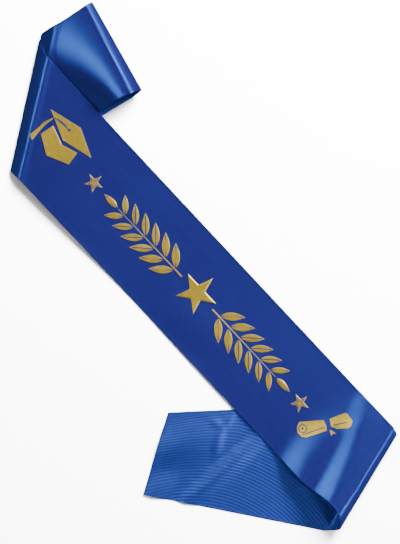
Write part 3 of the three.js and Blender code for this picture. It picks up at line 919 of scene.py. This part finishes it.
def add_node(
    tree: bpy.types.NodeTree,
    kind: str,
    settings: dict[str, Any] | None = None,
    inputs: dict[str | int, Any] | None = None,
) -> bpy.types.Node:
    """Add a node with its settings, values and links.

    Args:
        tree: The node tree.
        kind: The node's type name.
        settings: Its settings by name.
        inputs: For each input, a value or the socket that feeds it.

    Returns:
        The new node.
    """
    node = tree.nodes.new(kind)
    for name, value in (settings or {}).items():
        setattr(node, name, value)
    for name, value in (inputs or {}).items():
        if isinstance(value, bpy.types.NodeSocket):
            tree.links.new(value, node.inputs[name])
        else:
            node.inputs[name].default_value = value
    return node


def start_material(name: str) -> tuple[bpy.types.Material, bpy.types.NodeTree]:
    """A new material with an empty node tree."""
    material = bpy.data.materials.new(name)
    material.use_nodes = True
    material.node_tree.nodes.clear()
    return material, material.node_tree


def mix_colour(tree: bpy.types.NodeTree, share: bpy.types.NodeSocket, first: Any, second: Any) -> bpy.types.NodeSocket:
    """The colour at a share of the way from the first colour to the second."""
    inputs = {0: share, 6: first, 7: second}
    return add_node(tree, "ShaderNodeMix", {"data_type": "RGBA"}, inputs).outputs[2]


@dataclass(frozen=True)
class SatinFace:
    """Polyester satin, woven with long floats on its face: glossy along the threads, and its highlights keep
    the dye's blue. A faint crosswise rib and a slight streakiness show at close range."""

    name: str = "polyester_satin_face"
    colour: str = "#32268e"
    streak_colour: str = "#2a207e"
    gloss_tint: str = "#38aeff"
    roughness: float = 0.31
    anisotropy: float = 0.6
    rib_pitch_mm: float = 1.8
    rib_strength: float = 0.12

    def build(self) -> bpy.types.Material:
        """Build the material on the ribbon's own flat map."""
        material, tree = start_material(self.name)
        flat = add_node(tree, "ShaderNodeUVMap", {"uv_map": "flat"}).outputs[0]
        streak_place = add_node(tree, "ShaderNodeMapping", {}, {"Vector": flat, "Scale": (12.0, 260.0, 1.0)})
        streaks = add_node(
            tree, "ShaderNodeTexNoise", {}, {"Vector": streak_place.outputs[0], "Scale": 1.0, "Detail": 3.0}
        )
        colour = mix_colour(
            tree, streaks.outputs[0], linear_colour(self.colour), linear_colour(self.streak_colour)
        )
        rib = add_node(
            tree,
            "ShaderNodeTexWave",
            {"wave_type": "BANDS", "bands_direction": "X"},
            {"Vector": flat, "Scale": math.pi / (10.0 * self.rib_pitch_mm * MM), "Distortion": 0.6, "Detail": 1.0},
        )
        bump = add_node(
            tree,
            "ShaderNodeBump",
            {},
            {"Strength": self.rib_strength, "Distance": 0.0004, "Height": rib.outputs[1]},
        )
        tangent = add_node(tree, "ShaderNodeTangent", {"direction_type": "UV_MAP", "uv_map": "flat"})
        shader = add_node(
            tree,
            "ShaderNodeBsdfPrincipled",
            {},
            {
                "Base Color": colour,
                "Roughness": self.roughness,
                "Anisotropic": self.anisotropy,
                "Anisotropic Rotation": 0.25,
                "Tangent": tangent.outputs[0],
                "Metallic": 0.35,
                "IOR": 2.0,
                "Specular IOR Level": 0.8,
                "Specular Tint": linear_colour(self.gloss_tint),
                "Sheen Weight": 0.1,
                "Sheen Tint": linear_colour(self.gloss_tint),
                "Normal": bump.outputs[0],
            },
        )
        add_node(tree, "ShaderNodeOutputMaterial", {}, {"Surface": shader.outputs[0]})
        return material


@dataclass(frozen=True)
class SatinBack:
    """The wrong side of the satin: duller, a little lighter, with the weave's ribs showing as fine arcs."""

    name: str = "polyester_satin_wrong_side"
    colour: str = "#2c43ac"
    dark_line_colour: str = "#223796"
    gloss_tint: str = "#8cc4ff"
    roughness: float = 0.46
    rib_pitch_mm: float = 3.0
    rib_strength: float = 0.5
    arc_centre_mm: tuple[float, float] = (395.0, -150.0)

    def build(self) -> bpy.types.Material:
        """Build the material: ribs are rings round a far centre on the flat map."""
        material, tree = start_material(self.name)
        flat = add_node(tree, "ShaderNodeUVMap", {"uv_map": "flat"}).outputs[0]
        centre = tuple(-MM * c for c in self.arc_centre_mm) + (0.0,)
        place = add_node(tree, "ShaderNodeMapping", {}, {"Vector": flat, "Location": centre})
        ribs = add_node(
            tree,
            "ShaderNodeTexWave",
            {"wave_type": "RINGS", "rings_direction": "SPHERICAL"},
            {"Vector": place.outputs[0], "Scale": math.pi / (10.0 * self.rib_pitch_mm * MM), "Distortion": 0.0},
        )
        grain = add_node(tree, "ShaderNodeTexNoise", {}, {"Vector": flat, "Scale": 90.0, "Detail": 4.0})
        shade = add_node(tree, "ShaderNodeMath", {"operation": "MULTIPLY"}, {0: ribs.outputs[1], 1: grain.outputs[0]})
        colour = mix_colour(
            tree, shade.outputs[0], linear_colour(self.colour), linear_colour(self.dark_line_colour)
        )
        bump = add_node(
            tree,
            "ShaderNodeBump",
            {},
            {"Strength": self.rib_strength, "Distance": 0.0004, "Height": ribs.outputs[1]},
        )
        shader = add_node(
            tree,
            "ShaderNodeBsdfPrincipled",
            {},
            {
                "Base Color": colour,
                "Roughness": self.roughness,
                "Metallic": 0.35,
                "IOR": 1.8,
                "Specular IOR Level": 0.8,
                "Specular Tint": linear_colour(self.gloss_tint),
                "Sheen Weight": 0.1,
                "Sheen Tint": linear_colour(self.gloss_tint),
                "Normal": bump.outputs[0],
            },
        )
        add_node(tree, "ShaderNodeOutputMaterial", {}, {"Surface": shader.outputs[0]})
        return material


@dataclass(frozen=True)
class GoldFoil:
    """Hot-stamped gold foil: a pale gold metal skin, crinkled a little with the cloth. Round each figure a fine dark
    navy line is painted as painted shade at its edge, and the same dark navy fills its engraved print lines."""

    name: str = "hot_stamped_gold_foil"
    colour: str = "#f2d452"
    crease_colour: str = "#c8a030"
    # Dark navy for the painted edge shade round each figure and for the engraved lines of the print
    dark_line_colour: str = "#1b2f6e"
    metallic: float = 0.8
    roughness: float = 0.42
    # Width of the painted edge shade at each figure's outline
    rim_shade_mm: float = 0.35
    line_mm: float = 0.5

    def build(self) -> bpy.types.Material:
        """Build the material on the figure's distances to its outline and to its engraved lines."""
        material, tree = start_material(self.name)
        flat = add_node(tree, "ShaderNodeUVMap", {"uv_map": "flat"}).outputs[0]
        crinkle = add_node(
            tree, "ShaderNodeTexNoise", {}, {"Vector": flat, "Scale": 160.0, "Detail": 5.0, "Distortion": 1.5}
        )
        gold = mix_colour(tree, crinkle.outputs[0], linear_colour(self.colour), linear_colour(self.crease_colour))
        # Masks of the painted edge shade at the outline and of the engraved print lines
        shade_and_gap_masks = []
        for key, width in (("rim", self.rim_shade_mm), ("line", self.line_mm)):
            distance = add_node(tree, "ShaderNodeAttribute", {"attribute_name": key}).outputs["Fac"]
            shade_and_gap_masks.append(
                add_node(
                    tree,
                    "ShaderNodeMapRange",
                    {"interpolation_type": "SMOOTHSTEP"},
                    {"Value": distance, "From Min": 0.5 * width, "From Max": 1.5 * width, "To Min": 1.0, "To Max": 0.0},
                ).outputs[0]
            )
        # Painted edge shade round each figure, joined with the engraved print lines: dark navy there, and no metal
        rim_shade_and_print_gap = add_node(tree, "ShaderNodeMath", {"operation": "MAXIMUM"}, {0: shade_and_gap_masks[0], 1: shade_and_gap_masks[1]})
        colour = mix_colour(tree, rim_shade_and_print_gap.outputs[0], gold, linear_colour(self.dark_line_colour))
        inputs = {0: self.metallic, 1: rim_shade_and_print_gap.outputs[0]}
        metal = add_node(tree, "ShaderNodeMath", {"operation": "SUBTRACT", "use_clamp": True}, inputs)
        bump = add_node(
            tree, "ShaderNodeBump", {}, {"Strength": 0.45, "Distance": 0.0006, "Height": crinkle.outputs[0]}
        )
        shader = add_node(
            tree,
            "ShaderNodeBsdfPrincipled",
            {},
            {
                "Base Color": colour,
                "Roughness": self.roughness,
                "Metallic": metal.outputs[0],
                "Normal": bump.outputs[0],
            },
        )
        add_node(tree, "ShaderNodeOutputMaterial", {}, {"Surface": shader.outputs[0]})
        return material


@dataclass(frozen=True)
class PaleFloor:
    """A plain matt white table top."""

    name: str = "matt_white_floor"
    colour: str = "#f4f4f4"

    def build(self) -> bpy.types.Material:
        """Build the material."""
        material, tree = start_material(self.name)
        inputs = {"Base Color": linear_colour(self.colour), "Roughness": 0.9, "Specular IOR Level": 0.2}
        shader = add_node(tree, "ShaderNodeBsdfPrincipled", {}, inputs)
        add_node(tree, "ShaderNodeOutputMaterial", {}, {"Surface": shader.outputs[0]})
        return material


# The studio


@dataclass(frozen=True)
class SoftBox:
    """A square soft light: where it stands round the sash, how high, how far, how large and how strong, how
    wide its beam is in degrees, and the place on the floor at which it is aimed."""

    name: str
    azimuth: float
    elevation: float
    distance: float
    size: float
    power: float
    colour: str = "#ffffff"
    spread: float = 180.0
    aim: tuple[float, float] = (0.0, 0.0)


@dataclass
class Studio:
    """The pale floor, the soft lights and the camera straight above the sash."""

    centre: tuple[float, float]
    field_height: float = 0.5004
    camera_height: float = 1.15
    sensor_height: float = 24.0
    zenith_strength: float = 0.02
    horizon_strength: float = 0.3
    ground_share: float = 0.25
    lights: tuple[SoftBox, ...] = (
        SoftBox("key_softbox", 34.0, 30.0, 2.5, 0.6, 115.0),
        SoftBox("left_softbox", 152.0, 54.0, 2.4, 0.3, 0.5, spread=40.0, aim=(-0.16, 0.16)),
        SoftBox("swell_softbox", 145.0, 62.0, 2.4, 0.5, 0.24, spread=20.0, aim=(0.2, -0.14)),
        SoftBox("low_softbox", -30.0, 42.0, 2.4, 0.3, 15.0),
    )
    floor_light: SoftBox = SoftBox("floor_softbox", 60.0, 36.0, 2.0, 0.9, 900.0)

    def floor(self) -> bpy.types.Object:
        """A large square floor at the height on which the sash lies."""
        half = 2.5
        corners = np.array([[-half, -half, 0.0], [half, -half, 0.0], [half, half, 0.0], [-half, half, 0.0]])
        made = build_object("floor", corners, np.array([[0, 1, 2, 3]]), corners[:, :2] / MM)
        made.data.materials.append(PaleFloor().build())
        made.visible_glossy = made.visible_diffuse = False
        return made

    def light(self, floor: bpy.types.Object) -> None:
        """Add the soft lights and a pale surround that is dark overhead, as under a dark studio ceiling.

        One more light falls on the floor alone, so that it shows white round a sash that is lit softly.

        Args:
            floor: The floor.
        """
        floor_only = bpy.data.collections.new("floor_only")
        floor_only.objects.link(floor)
        for box in (*self.lights, self.floor_light):
            azimuth, elevation = math.radians(box.azimuth), math.radians(box.elevation)
            way = Vector((
                math.cos(elevation) * math.cos(azimuth),
                math.cos(elevation) * math.sin(azimuth),
                math.sin(elevation),
            ))
            data = bpy.data.lights.new(box.name, "AREA")
            data.shape, data.size, data.energy = "SQUARE", box.size, box.power
            data.color, data.spread = linear_colour(box.colour)[:3], math.radians(box.spread)
            lamp = bpy.data.objects.new(box.name, data)
            lamp.location = way * box.distance
            from_aim = lamp.location - Vector((*box.aim, 0.0))
            lamp.rotation_euler = from_aim.to_track_quat("Z", "Y").to_euler()
            bpy.context.scene.collection.objects.link(lamp)
            if box is self.floor_light:
                lamp.light_linking.receiver_collection = floor_only
        world = bpy.data.worlds.new("studio_sky")
        world.use_nodes = True
        tree = world.node_tree
        way = add_node(tree, "ShaderNodeTexCoord").outputs["Generated"]
        height = add_node(tree, "ShaderNodeSeparateXYZ", {}, {0: way}).outputs["Z"]
        strength = add_node(
            tree,
            "ShaderNodeMapRange",
            {"interpolation_type": "SMOOTHSTEP"},
            {"Value": height, "From Min": 0.25, "From Max": 0.85, "To Min": self.horizon_strength, "To Max": self.zenith_strength},
        )
        above = add_node(
            tree,
            "ShaderNodeMapRange",
            {},
            {"Value": height, "From Min": -0.2, "From Max": 0.0, "To Min": self.ground_share, "To Max": 1.0},
        )
        inputs = {0: strength.outputs[0], 1: above.outputs[0]}
        whole = add_node(tree, "ShaderNodeMath", {"operation": "MULTIPLY"}, inputs)
        tree.links.new(whole.outputs[0], tree.nodes["Background"].inputs["Strength"])
        tree.nodes["Background"].inputs["Color"].default_value = (1.0, 1.0, 1.0, 1.0)
        bpy.context.scene.world = world

    def camera(self) -> None:
        """Hang the camera straight above, so that the view takes in the given height of floor."""
        data = bpy.data.cameras.new("camera")
        data.sensor_fit, data.sensor_height = "VERTICAL", self.sensor_height
        data.lens = self.sensor_height * self.camera_height / self.field_height
        made = bpy.data.objects.new("camera", data)
        made.location = (*self.centre, self.camera_height)
        bpy.context.scene.collection.objects.link(made)
        bpy.context.scene.camera = made


@dataclass
class Sash:
    """The whole sash: the ribbon and its print, set where the frame's ribbon lies."""

    fold: Fold = field(default_factory=Fold)

    def build(self) -> tuple[Vector, bpy.types.Object, list[bpy.types.Object]]:
        """Build and dress every piece, move it to where the CAD ribbon lies and hang it from the root body.

        Returns:
            The place of the middle of the panel, the ribbon and the foil figures.
        """
        ribbon = Ribbon(self.fold).build()
        ribbon.data.materials.append(SatinFace().build())
        ribbon.data.materials.append(SatinBack().build())
        lowest, highest = (Vector(corner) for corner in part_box("ribbon"))
        corners = np.array([v.co for v in ribbon.data.vertices])
        middle = (corners.min(axis=0) + corners.max(axis=0)) / 2
        shift = (lowest + highest) / 2 - Vector(middle)
        shift.z = 0.0

        foil = GoldFoil().build()
        figures = []
        for figure in FoilPrint(self.fold).figures():
            made = figure.build(self.fold, FoilSizes())
            made.data.materials.append(foil)
            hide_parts(figure.node)
            figures.append(made)
        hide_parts("ribbon")
        for piece in (ribbon, *figures):
            move = np.tile(np.array(shift), (len(piece.data.vertices), 1))
            places = np.empty(3 * len(piece.data.vertices), dtype=np.float32)
            piece.data.vertices.foreach_get("co", places)
            piece.data.vertices.foreach_set("co", places + move.ravel().astype(np.float32))
            piece.data.update()
            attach(piece, "root")
            LOG.info("%s: %d faces", piece.name, len(piece.data.polygons))
        return shift, ribbon, figures


def main() -> None:
    """Build the sash and its studio."""
    logging.basicConfig(level=logging.INFO, format="%(message)s")
    panel_middle, _, _ = Sash().build()
    seen_from_panel = (2.8 * MM, 19.4 * MM)
    studio = Studio((panel_middle.x + seen_from_panel[0], panel_middle.y + seen_from_panel[1]))
    floor = studio.floor()
    studio.light(floor)
    studio.camera()


if __name__ == "__main__":
    main()
